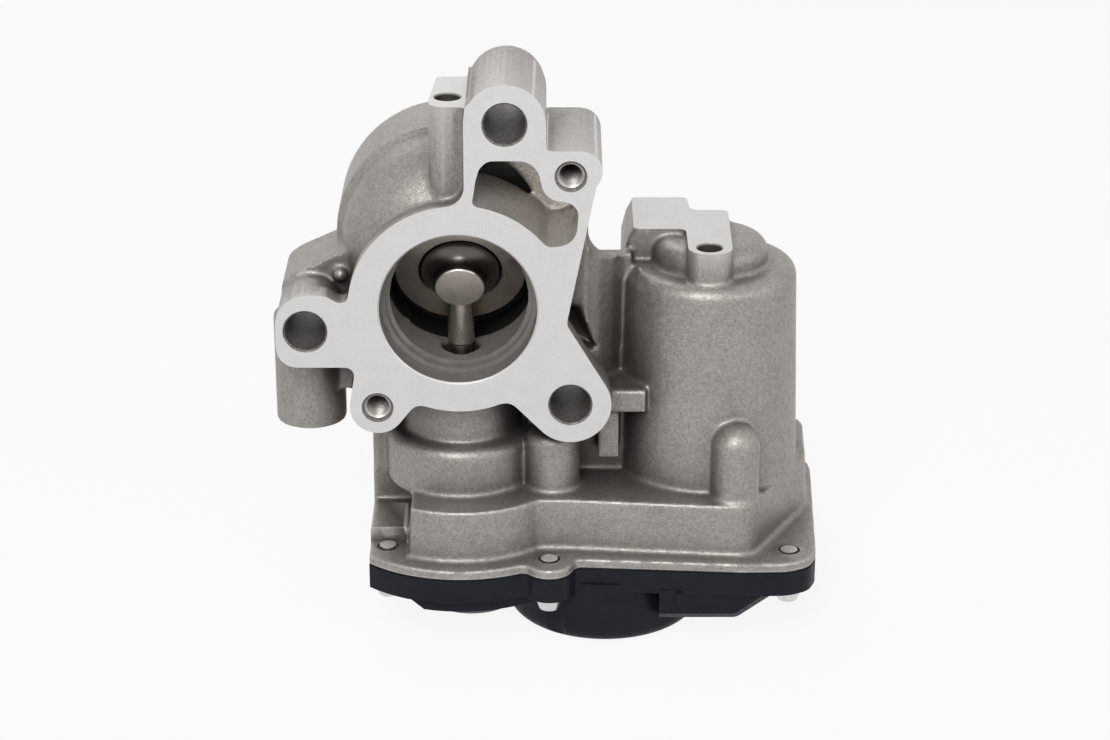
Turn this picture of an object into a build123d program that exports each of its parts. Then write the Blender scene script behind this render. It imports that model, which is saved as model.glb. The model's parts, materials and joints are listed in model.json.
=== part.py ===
from build123d import *
import math
import os

# EGR valve: an oblique flap on a vertical shaft, turned by a DC motor through two gear stages.
# X is to the right, Y goes from the mounting face into the body, Z is up, all in millimetres.
# The origin is the centre of the round gas port, in the mounting face.

# ---------------------------------------------------------------- driving dimensions
# mounting flange, drawn in (x, z)
disc_r = 24.0
throat_r = 22.4
throat_back = 34.0
flange_t = 6.0
boss_depth = 31.0
arm_depth = 27.0
bolt_hole_r = 4.5
top_ear = (10.4, 42.3)
top_ear_r = 8.8
top_ear_step_y = 18.0
right_ear = (24.5, -22.4)
right_ear_r = 9.0
left_ear = (-33.4, -5.0)
left_ear_x = -39.9
left_ear_top = 3.4
left_ear_bottom = -13.5
left_ear_inner_x = -25.5
left_post = (-34.0, 17.0)
left_post_r = 7.9
left_post_foot = -32.5
ear_gusset_rise = 4.7
ear_gusset_y = 13.0
lug_low = (-18.0, -23.1)
lug_low_r = 6.1
lug_depth = 18.0
lug_high = (24.5, 30.7)
arm_left_x = 1.6
arm_top_z = 35.2
arm_corner_x = 31.3
arm_foot = (23.6, -3.4)
m6_tap_r = 2.5
m6_mouth_r = 3.4
m6_depth = 15.0

# gas passages
port_mouth_r = 17.2
port_mouth_depth = 6.0
port_r = 16.2
valve_y = 19.0
seat_z = 2.5
seat_tilt = 23.0
seat_r = 14.5
seat_hole_r = 9.0
seat_t = 1.8
port_end = 6.0
passage_wall = 3.2
kidney_depth = 23.0
web_front = 12.0
bar_z = -25.0
chamber_x = -2.0
chamber_z = 10.0
chamber_r = 20.0
ring_r = 24.5
ring_front = 20.0
ring_back = 40.0
plug_seat_t = 4.0
plug_t = 1.6

# valve shaft, drawn from the flap down to the sector gear
shaft_r = 2.5
running_gap = 0.04
flap_r = 8.75
flap_hub_r = 5.65
flap_reach = 7.4
bushing_r = 4.4
bushing_top = -21.0
bushing_t = 12.0
seal_r = 7.0
seal_t = 4.0
bearing_r = 7.0
bearing_t = 5.0
column_r = 17.2
column_top = -34.6
neck_r = 13.2
knob_at = (20.6, 10.0)
knob_r = 6.2
knob_top = -32.4

# gear case and cover, drawn in (x, y)
joint_z = -60.0
rim_t = 2.0
deck_z = -46.0
deck_t = 3.0
rim_arc_r = 30.0
wall_arc_r = 25.6
case_left_x = -20.6
wall_left_x = -11.6
case_back = 52.0
step_front = 3.3
step_z = -54.5
wall_t = 3.0
gasket_t = 0.5
cover_lip_z = -66.0
cover_wall = 1.8
seal_land = 4.2
cover_screws_at = [(-16.6, 1.8), (19.8, -5.2), (73.7, -0.7), (76.3, 45.6), (28.0, 47.0), (-15.4, 39.2)]
cover_screw_r = 1.9
lobe_r = 5.5

# gear train
module_2 = 1.0
sector_teeth = 49
sector_pinion_teeth = 16
module_1 = 0.8
wheel_teeth = 47
motor_pinion_teeth = 15
pressure_angle = 20.0
backlash = 0.16
mesh_ease = 0.06
sector_z = -65.4
sector_t = 4.8
wheel_z = -70.6
wheel_t = 4.2
flap_travel = 80.0

hub_r = 4.4
spring_r = 7.6
spring_wire = 1.2
spring_pitch = 1.7
spring_turns = 4
sector_sweep_r = 26.8

# cover
pins_at = [57.0, 61.5, 66.0, 70.5, 75.0]
pin_z = -68.5
pin_slack = 0.02
screw_head_r = 3.5
screw_head_t = 3.7
screw_head_gap = 0.4
screw_flange_t = 1.1
drive_r = 1.5
drive_depth = 1.2
left_bulge_r = 28.6
left_bulge_x = -8.2
left_bulge_z = -68.7
bulge_slope = 4.0
dome_r = 22.3
dome_z = -78.9
dome_corner = 3.0
wheel_clearance = 0.65
right_bulge_front = -6.4
right_bulge_right = 71.2
right_bulge_slope = 9.2
right_bulge_back = 34.0
right_bulge_z = -72.7
rib_x = 48.9
rib_t = 1.2
rib_z = -69.3
sensor_cap_at = (2.4, 2.2)
sensor_cap_r = 10.4
sensor_cap_t = 1.2

# motor
motor_x = 56.0
motor_y = 24.5
motor_r = 16.5
motor_top = -1.5
motor_plate_z = -55.0
motor_plate_t = 2.0
housing_top_r = 19.3
housing_foot_r = 20.7
housing_top = 2.5
motor_screws_at = [(61.5, 3.5), (50.5, 45.5)]
motor_lobe_r = 7.0
motor_bump_r = 5.35
motor_bump_tops = (-28.5, -35.0)
motor_end_top = 8.4
motor_end_r = 12.8
motor_lug_r = 3.3
motor_shaft_r = 1.6
commutator_r = 4.6
brush_z = -44.75
brush_reach = 10.0
brush_w = 3.6
brush_t = 3.5

# machined pads
left_pad_z = 45.0
left_pad_hole = (-2.0, 11.0)
motor_pad_z = 10.0
motor_pad_hole = (55.1, 12.2)
pad_hole_r = 2.75
left_pad_hole_depth = 13.0
motor_pad_hole_depth = 8.0

BASE = (Align.CENTER, Align.CENTER, Align.MIN)
RIB = (Align.CENTER, Align.MIN, Align.MIN)


# ---------------------------------------------------------------- helpers
def post(x, y, z0, z1, r):
    """Upright cylinder from z0 to z1."""
    return Pos(x, y, z0) * Cylinder(r, z1 - z0, align=BASE)


def drum(x, z, y0, y1, r):
    """Cylinder that runs back from y0 to y1."""
    return Pos(x, y0, z) * Rot(-90, 0, 0) * Cylinder(r, y1 - y0, align=BASE)


def box(x0, x1, y0, y1, z0, z1):
    """Box between two corners."""
    return Pos(x0, y0, z0) * Box(x1 - x0, y1 - y0, z1 - z0, align=(Align.MIN, Align.MIN, Align.MIN))


def rounded(*corners):
    """Flat outline through (u, v, corner radius)."""
    points = [(u, v) for u, v, _ in corners]
    return make_face(FilletPolyline(*points, radius=[r for *_, r in corners], close=True))


def hull(circle_at, r, *points):
    """Flat outline wrapped round one circle and some points."""
    ring = Pos(*circle_at) * Circle(r)
    runs = Polyline(*points, close=True)
    return make_hull([*ring.edges(), *runs.edges()])


def tangent(centre, r, angle):
    """Point of a circle at an angle, and the heading of its tangent there."""
    turn = math.radians(angle)
    return (centre[0] + r * math.cos(turn), centre[1] + r * math.sin(turn)), angle + 90


def meet(p, p_heading, q, q_heading):
    """Where the line through p meets the line through q."""
    ax, ay = math.cos(math.radians(p_heading)), math.sin(math.radians(p_heading))
    bx, by = math.cos(math.radians(q_heading)), math.sin(math.radians(q_heading))
    run = ((q[0] - p[0]) * by - (q[1] - p[1]) * bx) / (ax * by - ay * bx)
    return p[0] + run * ax, p[1] + run * ay


def arc_corners(centre, r, start, end, count):
    """Corners of the polygon round an arc, with the radius that turns them back into the arc."""
    step = math.radians(end - start) / count
    reach = r / math.cos(step / 2)
    turns = [math.radians(start) + step * (i + 0.5) for i in range(count)]
    corner_r = r if count == 1 else 0.985 * r
    return [(centre[0] + reach * math.cos(t), centre[1] + reach * math.sin(t), corner_r) for t in turns]


def round_inside(outline, r):
    """Fills the inner corners of an outline with arcs."""
    return offset(offset(outline, r), -r)


def back(outline, y0, y1):
    """Solid from an (x, z) outline that runs back from y0 to y1."""
    return extrude(Plane.XZ.offset(-y0) * outline, amount=y0 - y1)


def rise(outline, z0, z1, taper=0.0):
    """Solid from an (x, y) outline that runs up from z0 to z1."""
    return extrude(Plane.XY.offset(z0) * outline, amount=z1 - z0, taper=taper)


def ring_z(x, y, z0, z1, r_out, r_in):
    """Upright ring."""
    return post(x, y, z0, z1, r_out) - post(x, y, z0, z1, r_in)


def write(node, shape):
    """One STEP file for each node."""
    export_step(Compound(children=shape) if isinstance(shape, list) else shape, f"parts/{node}.step")


def seat_frame():
    """Plane through the middle of the seat, with its normal towards the port's mouth and down."""
    tilt = math.radians(seat_tilt)
    return Plane(origin=(0, valve_y, seat_z), x_dir=(1, 0, 0), z_dir=(0, -math.cos(tilt), -math.sin(tilt)))


def on_seat(r, s0, s1):
    """Cylinder about the seat's axis between two heights."""
    return seat_frame() * (Pos(0, 0, s0) * Cylinder(r, s1 - s0, align=BASE))


# ---------------------------------------------------------------- gears
def involute(angle):
    return math.tan(angle) - angle


def gear_outline(module, teeth, root_ease=0.25):
    """Closed outline of a spur gear with its first tooth along +X."""
    pitch_r = module * teeth / 2
    base_r = pitch_r * math.cos(math.radians(pressure_angle))
    root_r = pitch_r - module * (1 + root_ease)
    tip_r = pitch_r + module
    half_tooth = math.pi / (2 * teeth) - backlash / (4 * pitch_r)
    flank_start = max(base_r, root_r)
    steps = 3
    flank = []
    for i in range(steps + 1):
        r = flank_start + (tip_r - flank_start) * i / steps
        turn = involute(math.acos(base_r / r))
        flank.append((r, half_tooth + involute(math.radians(pressure_angle)) - turn))
    if root_r < base_r:
        flank.insert(0, (root_r, flank[0][1]))
    points = []
    for tooth in range(teeth):
        middle = 2 * math.pi * tooth / teeth
        left = [(r, middle - a) for r, a in flank]
        right = [(r, middle + a) for r, a in reversed(flank)]
        points += [(r * math.cos(a), r * math.sin(a)) for r, a in left + right]
    return points


def gear(module, teeth, x, y, z0, z1, phase):
    """Spur gear with its first tooth at phase degrees."""
    face = make_face(Polyline(*gear_outline(module, teeth), close=True))
    return Pos(x, y, 0) * Rot(0, 0, phase) * rise(face, z0, z1)


stage_2 = module_2 * (sector_teeth + sector_pinion_teeth) / 2 + mesh_ease
stage_1 = module_1 * (wheel_teeth + motor_pinion_teeth) / 2 + mesh_ease


def idler_axis():
    """The intermediate axle stands where the two centre distances meet, on the flange's side."""
    across = math.hypot(motor_x, motor_y - valve_y)
    ux, uy = motor_x / across, (motor_y - valve_y) / across
    along = (stage_2**2 - stage_1**2 + across**2) / (2 * across)
    aside = math.sqrt(stage_2**2 - along**2)
    return along * ux + aside * uy, valve_y + along * uy - aside * ux


idler_x, idler_y = idler_axis()
mesh_2 = math.degrees(math.atan2(idler_y - valve_y, idler_x))
mesh_1 = math.degrees(math.atan2(motor_y - idler_y, motor_x - idler_x))


# ---------------------------------------------------------------- outlines
def arm_outline():
    """The flange's arm, from the disc up to the top ear and the upper lug."""
    return rounded((arm_left_x, 0, 0), (arm_foot[0] - 0.4, 0, 0), (arm_corner_x, arm_top_z, 4.5),
                   (top_ear[0] + top_ear_r, arm_top_z, 2.0), *arc_corners(top_ear, top_ear_r, 0, 180, 2))


def flange_outline():
    """Machined mounting face: disc, three ears for the through bolts and two tapped lugs."""
    arm_joint = meet((arm_left_x, 0), 90, *tangent((0, 0), disc_r, 96))
    lug_joint = meet(*tangent(lug_low, lug_low_r, 322), *tangent((0, 0), disc_r, 252))
    ear_joint = meet(*tangent((0, 0), disc_r, 292), *tangent(right_ear, right_ear_r, 224))
    return rounded(
        (*arm_foot, 2.0), (arm_corner_x, arm_top_z, 4.5), (top_ear[0] + top_ear_r, arm_top_z, 2.0),
        *arc_corners(top_ear, top_ear_r, 0, 180, 2),
        (*arm_joint, 4.3), *arc_corners((0, 0), disc_r, 96, 171, 1), (-disc_r - 0.2, 0.7, 1.6),
        (left_ear_x + 10.9, left_ear_top, 3.0), (left_ear_x, left_ear_top, 7.0),
        (left_ear_x, left_ear_bottom, 4.5),
        (-22.6, left_ear_bottom, 1.8), *arc_corners(lug_low, lug_low_r, 170, 322, 2),
        (*lug_joint, 2.7), *arc_corners((0, 0), disc_r, 252, 292, 1),
        (*ear_joint, 3.1), *arc_corners(right_ear, right_ear_r, 224, 391, 2))


def kidney_outline():
    """Second gas port, round the upper right of the disc."""
    return rounded((2.9, 34.2, 3.0), (17.0, 34.2, 4.5), (19.0, 25.6, 4.0), (26.4, 24.4, 3.0),
                   (25.6, 15.4, 4.2), (19.4, 14.4, 3.0), (11.5, 22.8, 6.0), (2.8, 23.2, 3.0))


def rim_outline():
    """Edge of the joint between the gear case and its cover."""
    left = (Pos(0, valve_y) * Circle(rim_arc_r)) & (Pos(case_left_x + 50, valve_y) * Rectangle(100, 100))
    front = rounded((0, -2.8, 0), (63.0, -7.4, 10.0), (79.5, -7.0, 9.0), (82.5, case_back, 8.0), (0, 49.0, 0))
    outline = left + front
    for at in cover_screws_at[1:5]:
        outline += Pos(*at) * Circle(lobe_r)
    outline += Pos(*motor_screws_at[1]) * Circle(motor_lobe_r + 2.6)
    return round_inside(outline, 2.0)


def wall_outline():
    """Foot of the gear case's wall, inside the rim."""
    left = (Pos(0, valve_y) * Circle(wall_arc_r)) & (Pos(wall_left_x + 50, valve_y) * Rectangle(100, 100))
    front = rounded((0, 0.4, 0), (24.0, 0.2, 0), (64.8, -3.8, 5.0), (79.6, 24.0, 12.0), (80.6, 49.0, 6.0),
                    (0, 46.0, 0))
    return left + front + Pos(*motor_screws_at[1]) * Circle(motor_lobe_r)


def motor_pad_outline():
    return rounded((50.4, 7.8, 4.2), (60.1, 7.8, 4.2), (60.4, 36.4, 1.5), (51.8, 36.4, 2.0), (51.4, 45.0, 1.0),
                   (38.8, 45.0, 1.0), (38.8, 24.0, 1.0), (50.4, 24.0, 1.5))


def left_pad_outline():
    return rounded((-6.3, 3.8, 3.6), (4.0, 3.8, 0), (4.0, 25.5, 0), (-4.9, 25.5, 1.0))


# ---------------------------------------------------------------- casting
def gas_body():
    """Flange, bosses, bowl and rear ring."""
    body = back(flange_outline(), 0, flange_t)
    body += back(arm_outline(), 0, arm_depth)
    body += drum(*top_ear, 0, top_ear_step_y, top_ear_r)
    body += drum(*top_ear, 0, boss_depth, top_ear_r - 0.4)
    body += drum(*right_ear, 0, boss_depth, right_ear_r)
    body += drum(*lug_low, 0, lug_depth, lug_low_r)
    ear = rounded((left_ear_x, left_ear_top, 7.0), (left_ear_inner_x, left_ear_top, 7.0),
                  (left_ear_inner_x, left_ear_bottom, 6.0), (left_ear_x, left_ear_bottom, 4.5))
    body += back(ear, 0, boss_depth)
    gusset = rounded((left_ear_x + 0.4, -4.0, 0), (left_ear_x + 0.4, 1.6, 3.5),
                     (-36.0, left_ear_top + 0.6, 2.5), (-27.0, left_ear_top + ear_gusset_rise, 0),
                     (-16.0, left_ear_top + 9.0, 0), (-16.0, -4.0, 0))
    body += back(gusset, ear_gusset_y, boss_depth)
    body += drum(0, 0, flange_t / 2, throat_back, throat_r)
    bowl = Line((0, 4), (12.5, 4)) + ThreePointArc((12.5, 4), (20.6, 9.6), (ring_r - 0.4, ring_front))
    bowl += Polyline((ring_r - 0.4, ring_front), (ring_r - 0.4, ring_front + 2), (0, ring_front + 2), (0, 4))
    body += Pos(chamber_x, 0, chamber_z) * revolve(make_face(bowl), Axis.Y)
    ring = drum(chamber_x, chamber_z, ring_front, ring_back, ring_r)
    body += chamfer(ring.edges().sort_by(Axis.Y)[-1], 1.0)
    return body


def left_side():
    """Upright dowel post under the left ear, with its web to the body."""
    side = post(*left_post, left_post_foot, left_ear[1] - 2, left_post_r)
    side += box(left_post[0], -15.0, 12.5, 20.5, left_post_foot + 8.5, left_ear[1] - 3)
    side += box(left_ear_inner_x - 1.5, -15.0, 11.0, boss_depth - 2, left_ear_bottom + 1, left_ear[1] + 1)
    return [side, rise(left_pad_outline(), chamber_z + 3, left_pad_z)]


def valve_column():
    """Upright housing of the valve shaft, between the gas body and the gear case."""
    column = post(0, valve_y, deck_z - 1, column_top, column_r)
    column = fillet(column.edges().sort_by(Axis.Z)[-1], 2.6)
    neck = post(0, valve_y, column_top - 3, -port_r + 5, neck_r)
    block = rise(rounded((case_left_x, valve_y, 1.5), (19.5, valve_y, 0), (19.5, 39.0, 4.0),
                         (case_left_x, 39.0, 4.0)), deck_z - 1, chamber_z - 5)
    knob = post(*knob_at, deck_z - 1, knob_top, knob_r)
    knob = fillet(knob.edges().sort_by(Axis.Z)[-1], 2.4)
    return [column, neck, block, knob]


def gear_case():
    """Rim, wall and deck of the gear case, solid inside until it is hollowed."""
    case = rise(rim_outline(), joint_z, joint_z + rim_t)
    case += rise(wall_outline(), joint_z + rim_t - 0.5, deck_z, taper=3.0)
    case += box(case_left_x, wall_left_x + 2, step_front, valve_y + 3, joint_z + 0.5, step_z)
    case += box(case_left_x, wall_left_x + 2, valve_y, 39.0, joint_z + 0.5, deck_z)
    return case


def motor_housing():
    """Tapered pot of the motor with its domed end, pads and screw bump."""
    height = housing_top - deck_z + 1
    pot = Pos(motor_x, motor_y, deck_z - 1) * Cone(housing_foot_r, housing_top_r, height, align=BASE)
    pot = fillet(pot.edges().sort_by(Axis.Z)[-1], 3.0)
    end = post(motor_x, motor_y, housing_top - 3, motor_end_top, motor_end_r)
    pot += fillet(end.edges().sort_by(Axis.Z)[-1], 3.4)
    pot += rise(motor_pad_outline(), -1.0, motor_pad_z)
    for (x, y), top in zip(motor_screws_at, motor_bump_tops):
        middle = top - motor_bump_r
        pot += post(x, y, deck_z - 1, middle, motor_bump_r) + Pos(x, y, middle) * Sphere(motor_bump_r)
    return pot


def webs():
    """Walls that tie the flange and the valve column to the motor pot."""
    upper = rounded((20.0, 18.0, 0), (28.4, 18.0, 0), (28.4, 7.4, 6.0), (40.0, 7.4, 0), (40.0, -22.0, 0),
                    (34.0, -22.0, 0), (24.0, -6.0, 0), (20.0, -6.0, 0))
    tie = back(upper, web_front, web_front + 7.5)
    lower = back(rounded((15.0, -4.0, 0), (40.0, -4.0, 0), (40.0, deck_z - 1, 0), (15.0, deck_z - 1, 0)),
                 web_front + 5.0, web_front + 10.5)
    bar = box(28.0, 41.4, web_front - 4.4, web_front + 8, bar_z - 2.6, bar_z + 2.6)
    stub = box(30.7, 35.4, web_front - 3.4, web_front + 8, -39.2, bar_z)
    return [tie, lower, bar, stub]


def gas_cavities():
    """Everything that the exhaust gas flows through."""
    slab = on_seat(60, -port_end, 60)
    inside = (drum(0, 0, 0, 45, port_r) & slab) - on_seat(seat_r - 0.4, -port_end - 1, -seat_t / 2)
    inside += drum(0, 0, -1, port_mouth_depth, port_mouth_r)
    inside += on_seat(seat_r, -seat_t / 2, port_end)
    chamber = drum(chamber_x, chamber_z, 0, ring_back - plug_seat_t, chamber_r)
    inside += on_seat(seat_hole_r + 0.8, -30, 0) & chamber
    inside += on_seat(60, -80, -port_end - passage_wall) & chamber
    inside += drum(chamber_x, chamber_z, ring_back - plug_seat_t, ring_back + 1, chamber_r + 1.2)
    inside += back(kidney_outline(), -1, kidney_depth)
    return inside


def shaft_bores():
    """Bushing, seal and bearing bores, all on the valve axis."""
    bearing_foot = deck_z - deck_t
    bores = post(0, valve_y, bushing_top - bushing_t, -port_r + 3, bushing_r)
    bores += post(0, valve_y, bearing_foot - 1, bushing_top - bushing_t + 1, shaft_r + 0.6)
    bores += post(0, valve_y, bearing_foot - 1, bearing_foot + bearing_t + seal_t, seal_r)
    return bores


def fastener_holes():
    """Bolt holes through the ears, tapped holes in the lugs and pads."""
    holes = []
    for x, z in (top_ear, right_ear, left_ear):
        holes.append(drum(x, z, -1, boss_depth + 1, bolt_hole_r))
    for x, z in (lug_low, lug_high):
        holes.append(drum(x, z, -1, m6_depth, m6_tap_r))
        mouth = Pos(x, 0, z) * Rot(-90, 0, 0) * Cone(m6_mouth_r, m6_tap_r, m6_mouth_r - m6_tap_r, align=BASE)
        holes.append(mouth)
    holes.append(post(*left_pad_hole, left_pad_z - left_pad_hole_depth, left_pad_z + 1, pad_hole_r))
    holes.append(post(*motor_pad_hole, motor_pad_z - motor_pad_hole_depth, motor_pad_z + 1, pad_hole_r))
    for x, y in cover_screws_at:
        holes.append(post(x, y, joint_z - 1, joint_z + rim_t + 1.5, cover_screw_r + 0.05))
    return holes


def case_hollow():
    """Inside of the gear case and the motor pot."""
    left_cut = Pos(wall_left_x + wall_t + 50, valve_y) * Rectangle(100, 200)
    floor = offset(wall_outline(), -wall_t) & left_cut
    hollow = rise(floor, joint_z - 1, deck_z - deck_t)
    hollow -= post(idler_x, idler_y, joint_z + 3, deck_z, 5.5)
    for x, y in motor_screws_at:
        hollow -= post(x, y, motor_plate_z + motor_plate_t, deck_z, 5.0)
    hollow += post(motor_x, motor_y, deck_z - deck_t - 1, motor_top + 1.0, motor_r + 0.3)
    hollow += post(motor_x, motor_y, motor_top, motor_top + 5.0, 5.0)
    for x, y in motor_screws_at:
        hollow += post(x, y, motor_plate_z, motor_plate_z + 14.0, 1.65)
    hollow += post(idler_x, idler_y, joint_z, deck_z - 2, 2.0)
    return hollow


def valve_body():
    """The one-piece aluminium casting, then machined."""
    body = gas_body()
    for piece in [*left_side(), *valve_column(), *webs(), gear_case(), motor_housing()]:
        body += piece
    body -= gas_cavities()
    body -= shaft_bores()
    body -= case_hollow()
    for hole in fastener_holes():
        body -= hole
    return body


# ---------------------------------------------------------------- fixed pieces in the casting
def core_plug():
    """Pressed steel cup that closes the rear chamber."""
    r = chamber_r + 1.2 - 0.02
    cup = drum(chamber_x, chamber_z, ring_back - plug_seat_t + 0.02, ring_back - 0.4, r)
    return cup - drum(chamber_x, chamber_z, ring_back - plug_seat_t + plug_t, ring_back + 1, r - plug_t)


def seat_ring():
    """Hardened seat, set square to the flap and oblique to the port."""
    ring = on_seat(seat_r - 0.02, -seat_t / 2 + 0.01, seat_t / 2) - on_seat(seat_hole_r, -seat_t, seat_t)
    rims = ring.edges().filter_by(GeomType.CIRCLE).sort_by(lambda edge: edge.radius)
    return chamfer([rims[0], rims[1]], 0.4)


def shaft_bushing():
    z0 = bushing_top - bushing_t
    return ring_z(0, valve_y, z0 + 0.02, bushing_top, bushing_r - 0.02, shaft_r + running_gap)


def shaft_seal():
    """Lip seal under the bushing."""
    z0 = deck_z - deck_t + bearing_t
    ring = ring_z(0, valve_y, z0 + 0.05, z0 + seal_t - 0.02, seal_r - 0.02, shaft_r + 1.2)
    return ring + ring_z(0, valve_y, z0 + 1.4, z0 + 2.2, shaft_r + 1.4, shaft_r + running_gap)


def shaft_bearing():
    """Shielded ball bearing that carries the lower end of the shaft."""
    z0 = deck_z - deck_t
    ring = ring_z(0, valve_y, z0 + 0.05, z0 + bearing_t, bearing_r - 0.02, shaft_r + running_gap)
    return ring - ring_z(0, valve_y, z0, z0 + 0.35, bearing_r - 1.3, shaft_r + 1.3)


def spring_guide():
    """Plastic sleeve that centres the return spring."""
    z0, z1 = joint_z + 2.2, deck_z - deck_t - 0.05
    sleeve = ring_z(0, valve_y, z0, z1, spring_r - spring_wire / 2 - 0.15, hub_r + 0.5)
    return sleeve + ring_z(0, valve_y, z1 - 0.95, z1, spring_r + 0.6, hub_r + 0.5)


def return_spring():
    """Torsion spring that turns the flap shut."""
    z0 = joint_z + 2.6
    path = Helix(pitch=spring_pitch, height=spring_pitch * spring_turns, radius=spring_r)
    section = Plane(path @ 0, z_dir=path % 0) * RegularPolygon(spring_wire / 2, 6)
    return Pos(0, valve_y, z0) * sweep(section, path=path)


# ---------------------------------------------------------------- pieces on the valve shaft
def shaft_cut(r):
    return post(0, valve_y, joint_z - 20, seat_z - 1.6, r)


def flap():
    """Turned flap: plate with a spherical edge, trumpet neck and flat hub."""
    half = seat_t / 2
    edge = math.sqrt(flap_r**2 - half**2)
    profile = Line((0, -half), (edge, -half)) + ThreePointArc((edge, -half), (flap_r, 0), (edge, half))
    profile += ThreePointArc((edge, half), (5.7, half + 1.0), (4.4, 4.6))
    hub_face = flap_reach - 1.1
    profile += Polyline((4.4, 4.6), (flap_hub_r, 5.0), (flap_hub_r, hub_face - 0.3),
                        (flap_hub_r - 0.3, hub_face), (0, hub_face), (0, -half))
    body = Rot(90, 0, 0) * revolve(make_face(profile), Axis.Y)
    body = seat_frame() * body
    return body - shaft_cut(shaft_r + 0.02)


def valve_shaft():
    """Steel shaft from the flap to the sector gear, with a flat for the gear's insert."""
    shaft = shaft_cut(shaft_r) - post(0, valve_y, joint_z - 30, cover_lip_z - 0.4, shaft_r + 1)
    return shaft


def gear_insert():
    """Steel bush moulded into the sector gear and welded to the shaft."""
    return ring_z(0, valve_y, sector_z, sector_z + sector_t + 6.0, hub_r, shaft_r + 0.02)


def sector_gear():
    """Sector of the output gear: teeth over the flap's travel, web and hub."""
    z1 = sector_z + sector_t
    wheel = gear(module_2, sector_teeth, 0, valve_y, sector_z, z1, mesh_2)
    pitch = 360 / sector_teeth
    lead, trail = 1.5 * pitch, flap_travel + 1.5 * pitch
    reach = 40.0
    steps = [mesh_2 + lead + pitch / 2 - (lead + trail + pitch) * i / 4 for i in range(5)]
    fan = [(0, 0)] + [(reach * math.cos(math.radians(a)), reach * math.sin(math.radians(a))) for a in steps]
    wedge = Pos(0, valve_y) * make_face(Polyline(*fan, close=True))
    sector = wheel & rise(wedge, sector_z - 1, z1 + 1)
    window = [(9.0, -14.0), (17.5, -14.0), (17.5, 14.0), (9.0, 14.0)]
    middle = mesh_2 + (lead - trail) / 2
    cut = rounded(*[(u, v, 2.5) for u, v in window])
    sector += post(0, valve_y, sector_z, z1, hub_r + 3.2)
    sector -= Pos(0, valve_y, 0) * Rot(0, 0, middle) * rise(cut, sector_z + sector_t * 0.45, z1 + 1)
    sector += post(0, valve_y, z1 - 0.5, z1 + 2.0, hub_r + 1.8)
    return sector - post(0, valve_y, sector_z - 1, z1 + 10, hub_r + 0.02)


def sensor_magnet():
    """Half-round magnet under the sector's hub, read by the sensor in the cover."""
    z0 = sector_z - 0.7
    ring = ring_z(0, valve_y, z0, sector_z - 0.02, 6.0, shaft_r + 0.6)
    return ring & Pos(0, valve_y + 10, z0) * Box(40, 20, 4)


# ---------------------------------------------------------------- intermediate gear
def intermediate_axle():
    return post(idler_x, idler_y, -73.6, deck_z - 2.1, 1.98)


def intermediate_gear():
    """Moulded wheel and pinion in one piece, on the fixed axle."""
    wheel = gear(module_1, wheel_teeth, idler_x, idler_y, wheel_z, wheel_z + wheel_t, mesh_1)
    dish = ring_z(idler_x, idler_y, wheel_z - 1, wheel_z + 1.4, module_1 * wheel_teeth / 2 - 3.4, 6.4)
    top = sector_z + sector_t + 0.3
    phase = mesh_2 + 180 + 180 / sector_pinion_teeth
    pinion = gear(module_2, sector_pinion_teeth, idler_x, idler_y, wheel_z + wheel_t - 0.5, top, phase)
    hub = post(idler_x, idler_y, wheel_z - 0.6, top + 0.6, 3.4)
    return wheel - dish + pinion + hub - post(idler_x, idler_y, wheel_z - 2, top + 2, 1.98 + running_gap)


# ---------------------------------------------------------------- motor
def motor_can():
    """Deep-drawn steel can, open at the gear end."""
    z0 = motor_plate_z + motor_plate_t
    can = post(motor_x, motor_y, z0 + 3.0, motor_top, motor_r)
    can += post(motor_x, motor_y, motor_top - 1, motor_top + 2.6, 4.6)
    can -= post(motor_x, motor_y, z0 + 2, motor_top - 1.2, motor_r - 1.2)
    return can - post(motor_x, motor_y, motor_top - 3, motor_top + 1.4, 3.4)


def motor_end_cap():
    """Plastic end cap with the brush cards' seats."""
    z0 = motor_plate_z + motor_plate_t
    cap = post(motor_x, motor_y, z0 + 0.02, z0 + 3.0, motor_r)
    cap += ring_z(motor_x, motor_y, z0 + 2.5, z0 + 8.0, motor_r - 1.22, motor_r - 3.0)
    return cap - post(motor_x, motor_y, z0 - 1, z0 + 5, 3.4)


def motor_plate():
    """Steel plate with two ears that hangs the motor on the casting."""
    outline = Pos(motor_x, motor_y) * Circle(motor_r - 1.5)
    root = [(motor_x - 9, motor_y), (motor_x + 9, motor_y), (motor_x, motor_y + 1)]
    for at in motor_screws_at:
        outline += hull(at, motor_lug_r, *root)
    plate = rise(outline, motor_plate_z, motor_plate_z + motor_plate_t)
    for x, y in motor_screws_at:
        plate -= post(x, y, joint_z, deck_z, 1.75)
    return plate - post(motor_x, motor_y, joint_z, deck_z, 3.4)


def motor_bushing(z0, z1):
    return ring_z(motor_x, motor_y, z0, z1, 3.38, motor_shaft_r + running_gap)


def motor_magnets():
    """Two ferrite arcs bonded inside the can."""
    shell = ring_z(motor_x, motor_y, -40.0, -8.0, motor_r - 1.22, motor_r - 4.4)
    slot = Pos(motor_x, motor_y, -50) * Box(7.0, 60, 60, align=BASE)
    return [solid for solid in (shell - slot).solids()]


def armature():
    """Laminated core with five slots and its windings' ends."""
    core = post(motor_x, motor_y, -37.0, -12.0, motor_r - 4.8)
    for i in range(5):
        turn = math.radians(72 * i)
        x, y = motor_x + 9.2 * math.cos(turn), motor_y + 9.2 * math.sin(turn)
        core -= post(x, y, -38.0, -11.0, 2.2)
    core += ring_z(motor_x, motor_y, -40.0, -9.0, 8.6, motor_shaft_r)
    return core - post(motor_x, motor_y, -60, 0, motor_shaft_r + 0.01)


def commutator():
    return ring_z(motor_x, motor_y, brush_z - 3.25, brush_z + 3.75, commutator_r, motor_shaft_r + 0.01)


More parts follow.
